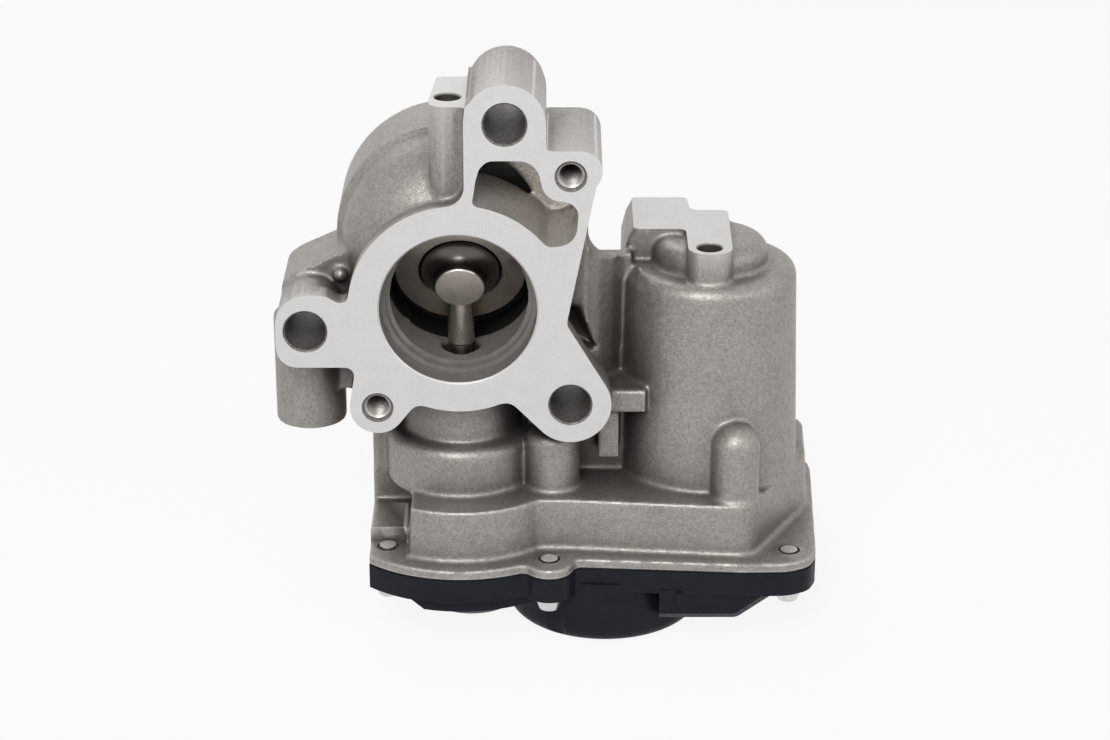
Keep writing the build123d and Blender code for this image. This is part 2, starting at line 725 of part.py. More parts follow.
def brushes():
    """Two carbon brushes, spring-loaded in the end cap."""
    middle = (commutator_r + 0.15 + brush_reach) / 2
    length = brush_reach - commutator_r - 0.15
    block = Box(length, brush_w, brush_t)
    return [Pos(motor_x + side * middle, motor_y, brush_z) * block for side in (-1, 1)]


def brush_card():
    """Plate that carries both brush tubes."""
    card = ring_z(motor_x, motor_y, brush_z + 2.15, brush_z + 3.35, motor_r - 1.4, 6.0)
    for side in (-1, 1):
        at = Pos(motor_x + side * 9.0, motor_y, brush_z)
        card += at * Pos(0, 0, 0.15) * Box(6.0, brush_w + 2.0, 5.6)
        card -= at * Box(8.0, brush_w + 0.1, brush_t + 0.1)
    return card


def motor_shaft():
    return post(motor_x, motor_y, wheel_z + 0.4, motor_top + 1.0, motor_shaft_r)


def motor_pinion():
    phase = mesh_1 + 180 + 180 / motor_pinion_teeth
    teeth = gear(module_1, motor_pinion_teeth, motor_x, motor_y, wheel_z + 0.2, wheel_z + wheel_t + 3.0, phase)
    return teeth - post(motor_x, motor_y, wheel_z - 2, deck_z, motor_shaft_r + 0.01)


def wave_washer():
    """Spring washer that loads the can's nose against the pot."""
    return ring_z(motor_x, motor_y, motor_top + 0.05, motor_top + 0.85, 8.0, 5.4)


# ---------------------------------------------------------------- cover
def cover_hollow_outline(inset):
    hollow = offset(rim_outline(), -inset)
    for at in cover_screws_at:
        hollow -= Pos(*at) * Circle(lobe_r - 0.8)
    return hollow


def cover_gasket():
    """Flat rubber gasket in the joint."""
    ring = offset(rim_outline(), -0.3) - cover_hollow_outline(seal_land - 0.6)
    gasket = rise(ring, joint_z - gasket_t, joint_z)
    for x, y in cover_screws_at:
        gasket -= post(x, y, joint_z - 1, joint_z + 1, cover_screw_r + 0.3)
    return gasket


def dome(r, z_low, corner):
    """Flat dome with a round edge over the intermediate wheel."""
    drop = post(idler_x, idler_y, z_low, cover_lip_z + 2, r)
    return fillet(drop.edges().sort_by(Axis.Z)[0], corner)


def left_bulge(r, z_low, slope):
    """Round bulge over the sector gear, cut off on its left by a slope."""
    across = Polyline((left_bulge_x - slope, cover_lip_z), (left_bulge_x, z_low), (r + 1, z_low),
                      (r + 1, cover_lip_z + 1), (left_bulge_x - slope, cover_lip_z + 1), close=True)
    return post(0, valve_y, z_low, cover_lip_z + 1, r) & back(make_face(across), valve_y - 40, valve_y + 40)


def right_bulge(inset):
    """Bulge over the motor's pinion, with a sloping right side."""
    top, low = cover_lip_z + 1 + inset, right_bulge_z + inset
    slope_foot = right_bulge_right - right_bulge_slope + inset / 3
    across = rounded((idler_x + 12, top, 0), (idler_x + 12, low, 0), (slope_foot, low, 3.0 - inset),
                     (right_bulge_right - inset, cover_lip_z, 0), (right_bulge_right - inset, top, 0))
    return back(across, right_bulge_front + inset, right_bulge_back - inset)


def cover():
    """Moulded cover with a bulge over the sector, a dome over the wheel and one over the motor's pinion."""
    top = joint_z - gasket_t
    shell = rise(rim_outline(), cover_lip_z, top)
    shell += left_bulge(left_bulge_r, left_bulge_z, bulge_slope)
    shell += dome(dome_r, dome_z, dome_corner)
    bulge = right_bulge(0)
    shell += chamfer(bulge.edges().group_by(Axis.Y)[0].sort_by(Axis.Z)[0], cover_wall)
    rib_front = right_bulge_front - rib_t / 2
    shell += Pos(rib_x, rib_front, rib_z) * Box(rib_t, cover_wall, cover_lip_z + 0.5 - rib_z, align=RIB)
    inside = rise(cover_hollow_outline(seal_land), cover_lip_z + cover_wall, top + 1)
    inside += post(0, valve_y, left_bulge_z + cover_wall, top + 0.5, sector_sweep_r) & sector_room()
    inside += dome(module_1 * (wheel_teeth / 2 + 1) + wheel_clearance, dome_z + cover_wall, dome_corner / 2)
    inside += right_bulge(cover_wall)
    for x, y in cover_screws_at:
        inside -= post(x, y, cover_lip_z, top + 2, lobe_r - 1.4)
    shell -= inside
    shell += post(idler_x, idler_y, dome_z + 0.5, -71.9, 4.2)
    shell -= post(idler_x, idler_y, -73.7, -70, 2.0)
    for x, y in cover_screws_at:
        shell -= post(x, y, cover_lip_z - 3, top + 1, cover_screw_r + 0.3)
        shell -= post(x, y, dome_z - 1, cover_lip_z, screw_head_r + screw_head_gap)
    shell += connector_shell()
    shell -= connector_hollow()
    for x in pins_at:
        shell -= pin(x, pin_slack)
    return shell


def sector_room():
    """Slab that keeps the sector's pocket clear of the bulge's slope."""
    return box(left_bulge_x - 0.8, left_bulge_r, valve_y - 40, valve_y + 40, left_bulge_z, joint_z + 5)


def connector_shell():
    """Socket for the loom's plug, on the hidden side."""
    outline = rounded((52.0, -75.5, 3.5), (80.0, -75.5, 3.5), (80.0, -61.5, 2.0), (52.0, -61.5, 2.0))
    return back(outline, case_back - 2.0, case_back + 16.0)


def connector_hollow():
    outline = rounded((54.0, -73.5, 2.2), (78.0, -73.5, 2.2), (78.0, -63.5, 1.0), (54.0, -63.5, 1.0))
    return back(outline, case_back + 3.0, case_back + 17.0)


def pin(x, slack):
    half, t = 0.8 + slack, 0.3 + slack
    return box(x - half, x + half, case_back - 0.6 - slack, case_back + 13.0, pin_z - t, pin_z + t)


def connector_pins():
    """Five tinned blades: two for the motor, three for the sensor."""
    return [pin(x, 0) for x in pins_at]


def sensor_board():
    """Position sensor's circuit board, flat on the cover's floor under the magnet."""
    z0 = left_bulge_z + cover_wall
    return box(-7.5, 7.5, valve_y - 7.0, valve_y + 7.0, z0 + 0.02, z0 + 0.4)


def sensor_cap():
    """Round cap welded over the sensor's potting."""
    return post(*sensor_cap_at, left_bulge_z - sensor_cap_t, left_bulge_z, sensor_cap_r)


def head_screw(x, y, z_head, z_tip, r, head_r, head_t):
    """Flanged screw that points up."""
    screw = post(x, y, z_head - screw_flange_t, z_head, head_r)
    crown = Cone(0.64 * head_r, 0.92 * head_r, head_t - screw_flange_t, align=BASE)
    screw += Pos(x, y, z_head - head_t) * crown
    screw += post(x, y, z_head - 0.5, z_tip, r)
    return screw - Pos(x, y, z_head - head_t) * Cylinder(drive_r, drive_depth * 2)


def cover_screws():
    tip = joint_z + rim_t + 0.5
    return [head_screw(x, y, cover_lip_z - 0.02, tip, cover_screw_r, screw_head_r, screw_head_t)
            for x, y in cover_screws_at]


def motor_screws():
    tip = motor_plate_z + 13.0
    return [head_screw(x, y, motor_plate_z - 0.02, tip, 1.6, 3.0, 2.2) for x, y in motor_screws_at]


# ---------------------------------------------------------------- build
NODES = {
    "valve_body": valve_body, "core_plug": core_plug, "seat_ring": seat_ring, "shaft_bushing": shaft_bushing,
    "shaft_seal": shaft_seal, "shaft_bearing": shaft_bearing, "spring_guide": spring_guide,
    "return_spring": return_spring, "flap": flap, "valve_shaft": valve_shaft, "gear_insert": gear_insert,
    "sector_gear": sector_gear, "sensor_magnet": sensor_magnet, "intermediate_axle": intermediate_axle,
    "intermediate_gear": intermediate_gear, "motor_can": motor_can, "motor_end_cap": motor_end_cap,
    "motor_plate": motor_plate, "motor_magnets": motor_magnets, "armature": armature, "commutator": commutator,
    "brushes": brushes, "brush_card": brush_card, "motor_shaft": motor_shaft, "motor_pinion": motor_pinion,
    "wave_washer": wave_washer, "cover_gasket": cover_gasket, "cover": cover, "connector_pins": connector_pins,
    "sensor_board": sensor_board, "sensor_cap": sensor_cap, "cover_screws": cover_screws,
    "motor_screws": motor_screws,
}

os.makedirs("parts", exist_ok=True)
for node, make in NODES.items():
    write(node, make())
write("motor_bushing_top", motor_bushing(motor_top - 2.0, motor_top + 1.3))
write("motor_bushing_low", motor_bushing(motor_plate_z + 0.1, motor_plate_z + 5.0))
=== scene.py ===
"""Looks of an exhaust gas recirculation valve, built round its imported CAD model.

Blender works in metres. Sizes here are in millimetres and degrees, except where a comment says metres.
+X is right, +Y runs from the mounting face into the body, +Z is up along the valve shaft.
"""

import json
import math

import bmesh
import bpy
from mathutils import Matrix, Vector


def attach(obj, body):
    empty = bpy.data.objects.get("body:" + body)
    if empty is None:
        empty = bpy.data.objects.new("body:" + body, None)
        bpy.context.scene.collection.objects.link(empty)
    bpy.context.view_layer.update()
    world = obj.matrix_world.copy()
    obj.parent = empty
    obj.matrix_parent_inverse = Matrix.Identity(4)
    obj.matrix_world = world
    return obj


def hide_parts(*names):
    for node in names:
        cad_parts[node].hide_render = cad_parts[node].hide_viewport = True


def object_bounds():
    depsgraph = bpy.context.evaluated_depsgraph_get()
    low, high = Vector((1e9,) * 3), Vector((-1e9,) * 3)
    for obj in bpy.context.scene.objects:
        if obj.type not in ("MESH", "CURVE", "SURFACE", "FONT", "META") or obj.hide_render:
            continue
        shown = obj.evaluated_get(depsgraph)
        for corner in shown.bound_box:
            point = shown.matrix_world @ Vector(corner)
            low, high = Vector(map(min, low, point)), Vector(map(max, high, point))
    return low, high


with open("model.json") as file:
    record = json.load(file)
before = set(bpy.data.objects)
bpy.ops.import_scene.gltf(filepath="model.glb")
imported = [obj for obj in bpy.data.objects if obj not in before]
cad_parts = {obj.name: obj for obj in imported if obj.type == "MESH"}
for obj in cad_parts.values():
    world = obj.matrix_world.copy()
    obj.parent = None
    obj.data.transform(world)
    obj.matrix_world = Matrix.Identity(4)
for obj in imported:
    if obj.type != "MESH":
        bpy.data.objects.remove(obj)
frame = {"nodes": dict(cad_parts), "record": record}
nodes = frame["nodes"]
cad_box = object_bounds()

MM = 0.001

# ---------------------------------------------------------------- sizes, as in the CAD model
# Bolt holes in the three ears and tapped holes in the two lugs, as (x, z).
EARS = [(10.4, 42.3), (24.5, -22.4), (-33.4, -5.0)]
BOLT_HOLE_R = 4.5
BOSS_DEPTH = 31.0
LUGS = [(-18.0, -23.1), (24.5, 30.7)]
LUG_HOLE_DEPTH = 14.1
THREAD_R = 3.0
THREAD_CREST_R = 2.5
THREAD_PITCH = 1.0

# Round gas port, about the Y axis, and kidney port above it.
PORT_MOUTH_R = 17.2
PORT_MOUTH_DEPTH = 6.0
PORT_R = 16.2
KIDNEY_DEPTH = 23.0
KIDNEY_FLOOR_R = 24.2
KIDNEY_BOX = (2.2, 26.8, 14.0, 34.5)  # x from and to, z from and to

# Machined pads on top: x and y of the hole, height of the pad, depth of the hole.
PADS = [(-2.0, 11.0, 45.0, 13.0), (55.1, 12.2, 10.0, 8.0)]
PAD_HOLE_R = 2.75

# Valve seat, on the shaft's axis, and how far the flap's hub stands out from its plane.
VALVE_Y = 19.0
SEAT_Z = 2.5
SEAT_TILT = 23.0
FLAP_REACH = 6.3

# Rim of the gear case: joint to the cover, top face, and screw holes as (x, y).
JOINT_Z = -60.0
RIM_TOP = -58.0
RIM_SCREWS = [(-16.6, 1.8), (19.8, -5.2), (73.7, -0.7), (76.3, 45.6), (28.0, 47.0), (-15.4, 39.2)]
RIM_HOLE_R = 1.95

# Ring at the back of the gas chamber, whose axis is at (x, z), and axis of the motor pot, as (x, y).
RING_FRONT = 20.6
RING_BACK = 40.0
RING_R = 25.5
CHAMBER = (-2.0, 10.0)
POT = (56.0, 24.5)

# ---------------------------------------------------------------- how finely meshes are made
ROUND_SIDES = 96
BORE_SIDES = 160
POST_SIDES = 64
SLEEVE_SIDES = 48
THREAD_STEPS = 36
VOXEL = 0.52
SMOOTHING = 5
SMOOTHING_FACTOR = 0.6
SKIN_FACES = 180000
SKIN_SHARP = 40
PIECE_SHARP = 30
WELD = 1e-6  # metres
SAME = 1e-5  # metres: a point this near a plane is on it
PLANE = 0.999  # share of a normal along an axis that makes a face of the CAD model square to it


# ---------------------------------------------------------------- mesh helpers
def add(name, mesh):
    """New object for a mesh."""
    piece = bpy.data.objects.new(name, mesh)
    bpy.context.scene.collection.objects.link(piece)
    return piece


def mesh_of(name, work):
    """Mesh from a bmesh, which is freed."""
    mesh = bpy.data.meshes.new(name)
    work.to_mesh(mesh)
    work.free()
    return mesh


def cone(length, r, r_end, sides):
    """Closed cylinder or cone along Z, centred on the origin, as a bmesh."""
    work = bmesh.new()
    bmesh.ops.create_cone(work, cap_ends=True, segments=sides, radius1=r * MM,
                          radius2=(r if r_end is None else r_end) * MM, depth=length * MM)
    return work


def drum(x, z, y0, y1, r, r_end=None, sides=ROUND_SIDES):
    """Closed cylinder or cone that runs back from y0 to y1."""
    work = cone(y1 - y0, r, r_end, sides)
    place = Matrix.Translation((x * MM, (y0 + y1) / 2 * MM, z * MM)) @ Matrix.Rotation(-math.pi / 2, 4, "X")
    bmesh.ops.transform(work, matrix=place, verts=work.verts)
    return mesh_of("drum", work)


def post(x, y, z0, z1, r, r_end=None):
    """Closed upright cylinder or cone from z0 to z1."""
    work = cone(z1 - z0, r, r_end, POST_SIDES)
    bmesh.ops.translate(work, vec=(x * MM, y * MM, (z0 + z1) / 2 * MM), verts=work.verts)
    return mesh_of("post", work)


def ball(x, y, z, r):
    """Sphere."""
    work = bmesh.new()
    bmesh.ops.create_icosphere(work, subdivisions=3, radius=r * MM)
    bmesh.ops.translate(work, vec=(x * MM, y * MM, z * MM), verts=work.verts)
    return mesh_of("ball", work)


def block(x0, x1, y0, y1, z0, z1):
    """Box between two corners."""
    work = bmesh.new()
    bmesh.ops.create_cube(work, size=1.0)
    size = Matrix.Diagonal(((x1 - x0) * MM, (y1 - y0) * MM, (z1 - z0) * MM, 1.0))
    place = Matrix.Translation(((x0 + x1) / 2 * MM, (y0 + y1) / 2 * MM, (z0 + z1) / 2 * MM))
    bmesh.ops.transform(work, matrix=place @ size, verts=work.verts)
    return mesh_of("block", work)


def tube(y0, y1, r_out, r_in, x=0.0, z=0.0, start=0.0, end=360.0):
    """Closed ring that runs back from y0 to y1, whole or between two angles from +X towards +Z."""
    whole = end - start >= 360
    count = ROUND_SIDES if whole else ROUND_SIDES + 1
    turns = [math.radians(start + (end - start) * i / ROUND_SIDES) for i in range(count)]
    work = bmesh.new()
    loops = []
    for r, y in ((r_in, y0), (r_out, y0), (r_out, y1), (r_in, y1)):
        ring = [((x + r * math.cos(t)) * MM, y * MM, (z + r * math.sin(t)) * MM) for t in turns]
        loops.append([work.verts.new(place) for place in ring])
    for a, b in zip(loops, loops[1:] + loops[:1]):
        for i in range(ROUND_SIDES):
            j = (i + 1) % count
            work.faces.new((a[i], b[i], b[j], a[j]))
    if not whole:
        work.faces.new([loop[0] for loop in loops])
        work.faces.new([loop[-1] for loop in reversed(loops)])
    bmesh.ops.recalc_face_normals(work, faces=work.faces)
    return mesh_of("tube", work)


def loft(outlines, triangles=False):
    """Closed body through two or more outlines of as many points."""
    work = bmesh.new()
    loops = [[work.verts.new([c * MM for c in point]) for point in outline] for outline in outlines]
    for a, b in zip(loops, loops[1:]):
        for i in range(len(a)):
            j = (i + 1) % len(a)
            work.faces.new((a[i], a[j], b[j], b[i]))
    work.faces.new(list(reversed(loops[0])))
    work.faces.new(loops[-1])
    if triangles:
        bmesh.ops.triangulate(work, faces=work.faces)
    bmesh.ops.recalc_face_normals(work, faces=work.faces)
    return mesh_of("loft", work)


def slab(outline, y0, y1):
    """Body with an outline in (x, z) that runs back from y0 to y1."""
    return loft([[(x, y, z) for x, z in outline] for y in (y0, y1)], triangles=True)


def settle(piece):
    """Applies a piece's modifiers."""
    graph = bpy.context.evaluated_depsgraph_get()
    mesh = bpy.data.meshes.new_from_object(piece.evaluated_get(graph))
    piece.modifiers.clear()
    piece.data = mesh


def cut(piece, meshes):
    """Takes each closed mesh away from a piece."""
    for mesh in meshes:
        tool = add("tool", mesh)
        change = piece.modifiers.new("cut", "BOOLEAN")
        change.operation = "DIFFERENCE"
        change.solver = "MANIFOLD"
        change.object = tool
        settle(piece)
        bpy.data.objects.remove(tool)


def shade(piece, angle):
    """Smooth shading, with sharp edges above an angle."""
    piece.data.shade_smooth()
    piece.data.set_sharp_from_angle(angle=math.radians(angle))


# ---------------------------------------------------------------- shader helpers
# Sockets of the colour Mix node, by number, because several share a name.
MIX_SHARE, MIX_UNDER, MIX_OVER, MIX_OUT = 0, 6, 7, 2
# Scale of the wave texture at which its grooves are one unit apart.
WAVE_UNIT = 0.314
# Range that noise mostly stays in.
NOISE_LOW, NOISE_HIGH = 0.3, 0.7


class Paint:
    """A Principled material and the nodes that feed it."""

    def __init__(self, name, colour, metallic=0.0, roughness=0.5, specular=0.5):
        self.material = bpy.data.materials.new(name)
        self.material.use_nodes = True
        self.tree = self.material.node_tree
        self.surface = self.tree.nodes["Principled BSDF"]
        self.set("Base Color", (*colour, 1.0))
        self.set("Metallic", metallic)
        self.set("Roughness", roughness)
        self.set("Specular IOR Level", specular)
        self.places = self.node("ShaderNodeTexCoord").outputs["Object"]
        self.normal = None

    def set(self, socket, value):
        """Sets a constant on the surface."""
        self.surface.inputs[socket].default_value = value

    def node(self, kind, **values):
        """Adds a node."""
        made = self.tree.nodes.new(kind)
        for name, value in values.items():
            setattr(made, name, value)
        return made

    def link(self, out, into):
        """Joins two sockets."""
        self.tree.links.new(out, into)

    def moved(self, shift, turn):
        """The object's coordinates seen from a place in metres, turned."""
        mapping = self.node("ShaderNodeMapping", vector_type="TEXTURE")
        mapping.inputs["Location"].default_value = shift
        mapping.inputs["Rotation"].default_value = [math.radians(a) for a in turn]
        self.link(self.places, mapping.inputs["Vector"])
        return mapping.outputs["Vector"]

    def noise(self, size, detail=3.0):
        """Noise with features of about a size."""
        made = self.node("ShaderNodeTexNoise")
        made.inputs["Scale"].default_value = 1.0 / (size * MM)
        made.inputs["Detail"].default_value = detail
        made.inputs["Roughness"].default_value = 0.6
        self.link(self.places, made.inputs["Vector"])
        return made.outputs["Fac"]

    def grooves(self, pitch, places, distortion, **kind):
        """Wave of grooves a pitch apart, in rings or bands."""
        made = self.node("ShaderNodeTexWave", **kind)
        made.inputs["Scale"].default_value = WAVE_UNIT / (pitch * MM)
        made.inputs["Distortion"].default_value = distortion
        self.link(places, made.inputs["Vector"])
        return made.outputs["Fac"]

    def rings(self, pitch, places, distortion):
        """Concentric grooves about the Z axis of the given coordinates."""
        return self.grooves(pitch, places, distortion, wave_type="RINGS", rings_direction="Z")

    def along(self, direction, origin):
        """Distance in metres from a plane through the origin, along its direction."""
        made = self.node("ShaderNodeVectorMath", operation="DOT_PRODUCT")
        made.inputs[1].default_value = direction
        self.link(self.places, made.inputs[0])
        less = self.node("ShaderNodeMath", operation="SUBTRACT")
        less.inputs[1].default_value = direction.dot(origin)
        self.link(made.outputs["Value"], less.inputs[0])
        return less.outputs["Value"]

    def spread(self, value, low, high, to_low=0.0, to_high=1.0):
        """Maps a value from one range to another."""
        made = self.node("ShaderNodeMapRange")
        for name, number in (("From Min", low), ("From Max", high), ("To Min", to_low), ("To Max", to_high)):
            made.inputs[name].default_value = number
        self.link(value, made.inputs["Value"])
        return made.outputs["Result"]

    def edges(self, low, high):
        """How far a place stands out from its surroundings."""
        return self.spread(self.node("ShaderNodeNewGeometry").outputs["Pointiness"], low, high)

    def occlusion_shade(self, reach, low, high, most):
        """Share of painted shade, by how closed in a place is within a reach."""
        made = self.node("ShaderNodeAmbientOcclusion", only_local=True, samples=6)
        made.inputs["Distance"].default_value = reach * MM
        return self.spread(made.outputs["AO"], low, high, most, 0.0)

    def tint(self, share, colour):
        """Mixes another colour over the base colour."""
        mix = self.node("ShaderNodeMix", data_type="RGBA")
        base = self.surface.inputs["Base Color"]
        if base.links:
            self.link(base.links[0].from_socket, mix.inputs[MIX_UNDER])
        else:
            mix.inputs[MIX_UNDER].default_value = base.default_value
        mix.inputs[MIX_OVER].default_value = (*colour, 1.0)
        self.link(share, mix.inputs[MIX_SHARE])
        self.link(mix.outputs[MIX_OUT], base)

    def mottle(self, size, colour, most, low, high, detail=3.0):
        """Patches of another colour, where noise runs from low to high."""
        self.tint(self.spread(self.noise(size, detail), low, high, 0.0, most), colour)

    def polish(self, size, low, high):
        """Patches of roughness between two values."""
        patches = self.spread(self.noise(size), NOISE_LOW, NOISE_HIGH, low, high)
        self.link(patches, self.surface.inputs["Roughness"])

    def bump(self, height, depth, strength):
        """Adds relief of a depth."""
        made = self.node("ShaderNodeBump")
        made.inputs["Strength"].default_value = strength
        made.inputs["Distance"].default_value = depth * MM
        self.link(height, made.inputs["Height"])
        if self.normal:
            self.link(self.normal, made.inputs["Normal"])
        self.normal = made.outputs["Normal"]
        self.link(self.normal, self.surface.inputs["Normal"])

    def grain(self, size, depth, strength, detail=3.0):
        """Adds noisy relief."""
        self.bump(self.noise(size, detail), depth, strength)


# ---------------------------------------------------------------- materials
SEAT_AXIS = (90 + SEAT_TILT, 0, 0)
SEAT_OUT = Vector((0, -math.cos(math.radians(SEAT_TILT)), -math.sin(math.radians(SEAT_TILT))))
SEAT_AT = Vector((0, VALVE_Y, SEAT_Z)) * MM

# Painted shadow: the port's wall turns black nearer the seat than this, over a narrow band.
SEAT_SHADE = 3.2
SEAT_SHADE_WIDTH = 0.4
# Painted light: the flap's hub turns bright over this band, short of its end.
HUB_LIT_BAND = (0.25, 0.05)
# Where the cutter turned that milled the flange, in metres.
CUTTER_AT = (-0.09, 0.0, 0.06)

CASTING_GREY = (0.335, 0.311, 0.288)
CASTING_BRIGHT = (0.47, 0.445, 0.42)
CASTING_DARK = (0.13, 0.117, 0.103)
# Worn edges, also a painted highlight.
CASTING_WORN_AND_HIGHLIT = (0.66, 0.64, 0.62)
# Painted shade in corners and recesses of the casting.
CASTING_CREVICE_SHADE = (0.06, 0.054, 0.048)
# Pale grey of the kidney port's floor, painted light.
KIDNEY_LIT_GREY = (0.8, 0.75, 0.7)
MILLED_GREY = (0.665, 0.655, 0.65)
MILLED_DULL = (0.56, 0.55, 0.54)
MILLED_BRIGHT = (0.8, 0.79, 0.785)
MILLED_DARK = (0.43, 0.42, 0.41)
BORED_GREY = (0.19, 0.178, 0.168)
BORED_BRIGHT = (0.3, 0.285, 0.265)
# Black of the painted shadow near the seat.
BORED_SEAT_SHADOW = (0.01, 0.009, 0.0085)
# Dark grey of the hole walls and chamfers, painted shade.
DRILLED_SHADE_GREY = (0.2, 0.186, 0.172)
DRILLED_DARK = (0.075, 0.068, 0.06)
DRILLED_BRIGHT = (0.36, 0.34, 0.32)
# Near black of the painted shade behind the seat.
UNDERCUT_SHADE_BLACK = (0.014, 0.0125, 0.0115)
UNDERCUT_BRIGHT = (0.035, 0.032, 0.03)
THREAD_GREY = (0.42, 0.395, 0.37)
# Painted shade in the thread's roots.
THREAD_ROOT_SHADE = (0.03, 0.027, 0.025)
SEAT_STEEL = (0.5, 0.455, 0.41)
SEAT_DARK = (0.3, 0.27, 0.245)
# Dark steel of the flap's dish, a painted reflection of the dark port.
DISH_SHADED_STEEL = (0.14, 0.125, 0.115)
DISH_DARK = (0.09, 0.08, 0.072)
# Bright steel of the hub's end, painted light.
HUB_LIT_STEEL = (0.84, 0.78, 0.72)


def cast_paint(name, colour, shade_share):
    """Shot-blasted aluminium casting: mottled grey, fine grain, edges worn bright with a painted highlight,
    painted shade in corners.
    """
    paint = Paint(name, colour, metallic=0.6, roughness=0.45)
    paint.mottle(9.0, [c * 0.68 for c in colour], most=0.6, low=0.35, high=0.75, detail=4.0)
    paint.mottle(0.9, CASTING_BRIGHT, most=0.55, low=0.35, high=0.7, detail=2.0)
    paint.mottle(0.3, CASTING_DARK, most=0.75, low=0.5, high=0.72, detail=2.0)
    # Painted shade: darker where the casting is closed in.
    paint.tint(paint.occlusion_shade(reach=14.0, low=0.3, high=0.95, most=shade_share), CASTING_CREVICE_SHADE)
    # Edges worn bright, and a painted highlight along them.
    paint.tint(paint.edges(low=0.525, high=0.6), CASTING_WORN_AND_HIGHLIT)
    paint.polish(1.6, low=0.34, high=0.52)
    paint.grain(0.3, depth=0.07, strength=0.9, detail=2.0)
    paint.grain(1.4, depth=0.12, strength=0.7)
    return paint.material


def machined_paint():
    """Milled aluminium: pale, with faint arcs of the cutter."""
    paint = Paint("machined_aluminium", MILLED_GREY, metallic=0.45, roughness=0.42)
    paint.mottle(5.0, MILLED_DULL, most=0.4, low=0.35, high=0.75, detail=4.0)
    paint.mottle(0.35, MILLED_BRIGHT, most=0.45, low=0.45, high=0.7)
    paint.mottle(0.22, MILLED_DARK, most=0.45, low=0.52, high=0.72, detail=2.0)
    paint.polish(0.8, low=0.36, high=0.5)
    arcs = paint.rings(0.35, paint.moved(CUTTER_AT, (90, 0, 0)), distortion=1.0)
    paint.bump(arcs, depth=0.006, strength=0.35)
    paint.grain(0.3, depth=0.008, strength=0.4)
    return paint.material


def bored_paint():
    """Bored aluminium: finely ringed, dark grey, with a painted black shadow near the seat."""
    paint = Paint("bored_aluminium", BORED_GREY, metallic=0.2, roughness=0.6)
    paint.mottle(3.0, BORED_BRIGHT, most=0.5, low=0.35, high=0.7, detail=4.0)
    # Painted shadow: black on the port's wall near the seat.
    from_seat = paint.along(SEAT_OUT, SEAT_AT)
    shade_end = (SEAT_SHADE + SEAT_SHADE_WIDTH) * MM
    paint.tint(paint.spread(from_seat, SEAT_SHADE * MM, shade_end, 1.0, 0.0), BORED_SEAT_SHADOW)
    lines = paint.grooves(0.3, paint.places, distortion=0.6, wave_type="BANDS", bands_direction="Y")
    paint.bump(lines, depth=0.01, strength=0.5)
    return paint.material


def drilled_paint():
    """Rough wall of a cored or tapped hole and of the chamfers round the holes, darker than the casting as
    painted shade.
    """
    paint = Paint("drilled_aluminium", DRILLED_SHADE_GREY, metallic=0.5, roughness=0.5)
    paint.mottle(0.8, DRILLED_DARK, most=0.8, low=0.4, high=0.65)
    paint.mottle(0.5, DRILLED_BRIGHT, most=0.5, low=0.5, high=0.7, detail=2.0)
    paint.grain(0.7, depth=0.16, strength=1.0)
    return paint.material


def undercut_paint():
    """Unfinished casting round and behind the seat, painted near black as shade."""
    paint = Paint("undercut_aluminium", UNDERCUT_SHADE_BLACK, metallic=0.2, roughness=0.65)
    paint.mottle(0.5, UNDERCUT_BRIGHT, most=0.5, low=0.45, high=0.7)
    paint.grain(0.4, depth=0.08, strength=0.8, detail=2.0)
    return paint.material


def thread_paint():
    """Tapped thread: bright crests, painted shade in the roots."""
    paint = Paint("thread_aluminium", THREAD_GREY, metallic=0.6, roughness=0.4)
    # Painted shade: darker in the thread's roots.
    paint.tint(paint.occlusion_shade(reach=1.2, low=0.3, high=0.85, most=0.95), THREAD_ROOT_SHADE)
    paint.grain(0.4, depth=0.02, strength=0.5)
    return paint.material


def turned_paint(name, colour, dark):
    """Turned steel with grooves about the seat's axis, not yet a finished material."""
    roughness = 0.3
    paint = Paint(name, colour, metallic=1.0, roughness=roughness)
    paint.mottle(5.0, dark, most=0.4, low=0.3, high=0.7, detail=2.0)
    paint.polish(2.0, low=roughness - 0.04, high=roughness + 0.06)
    paint.bump(paint.rings(0.4, paint.moved(SEAT_AT, SEAT_AXIS), distortion=0.3), depth=0.004, strength=0.4)
    return paint


def flap_paint():
    """Turned steel of the flap: its dish darkened as a painted reflection of the dark port, the end of its
    hub brightened as painted light.
    """
    paint = turned_paint("flap_steel", DISH_SHADED_STEEL, DISH_DARK)
    start, end = [(FLAP_REACH - short) * MM for short in HUB_LIT_BAND]
    # Painted light: the end of the hub turns bright.
    paint.tint(paint.spread(paint.along(SEAT_OUT, SEAT_AT), start, end), HUB_LIT_STEEL)
    return paint.material


def steel_paint(name, colour, roughness):
    """Plain ground, drawn or plated metal with a fine grain."""
    paint = Paint(name, colour, metallic=1.0, roughness=roughness)
    paint.mottle(1.5, [c * 0.7 for c in colour], most=0.4, low=0.4, high=0.75, detail=4.0)
    paint.polish(0.6, low=roughness - 0.05, high=roughness + 0.1)
    paint.grain(0.25, depth=0.0015, strength=0.4)
    return paint.material


def plastic_paint(name, colour, roughness, specular=0.4):
    """Moulded plastic, rubber or another plain dull stuff, with a fine leathered skin."""
    paint = Paint(name, colour, roughness=roughness, specular=specular)
    paler = [min(1.0, c * 1.5 + 0.004) for c in colour]
    paint.mottle(6.0, paler, most=0.5, low=0.4, high=0.75, detail=4.0)
    paint.polish(1.2, low=roughness - 0.06, high=roughness + 0.08)
    paint.grain(0.5, depth=0.02, strength=0.6)
    return paint.material


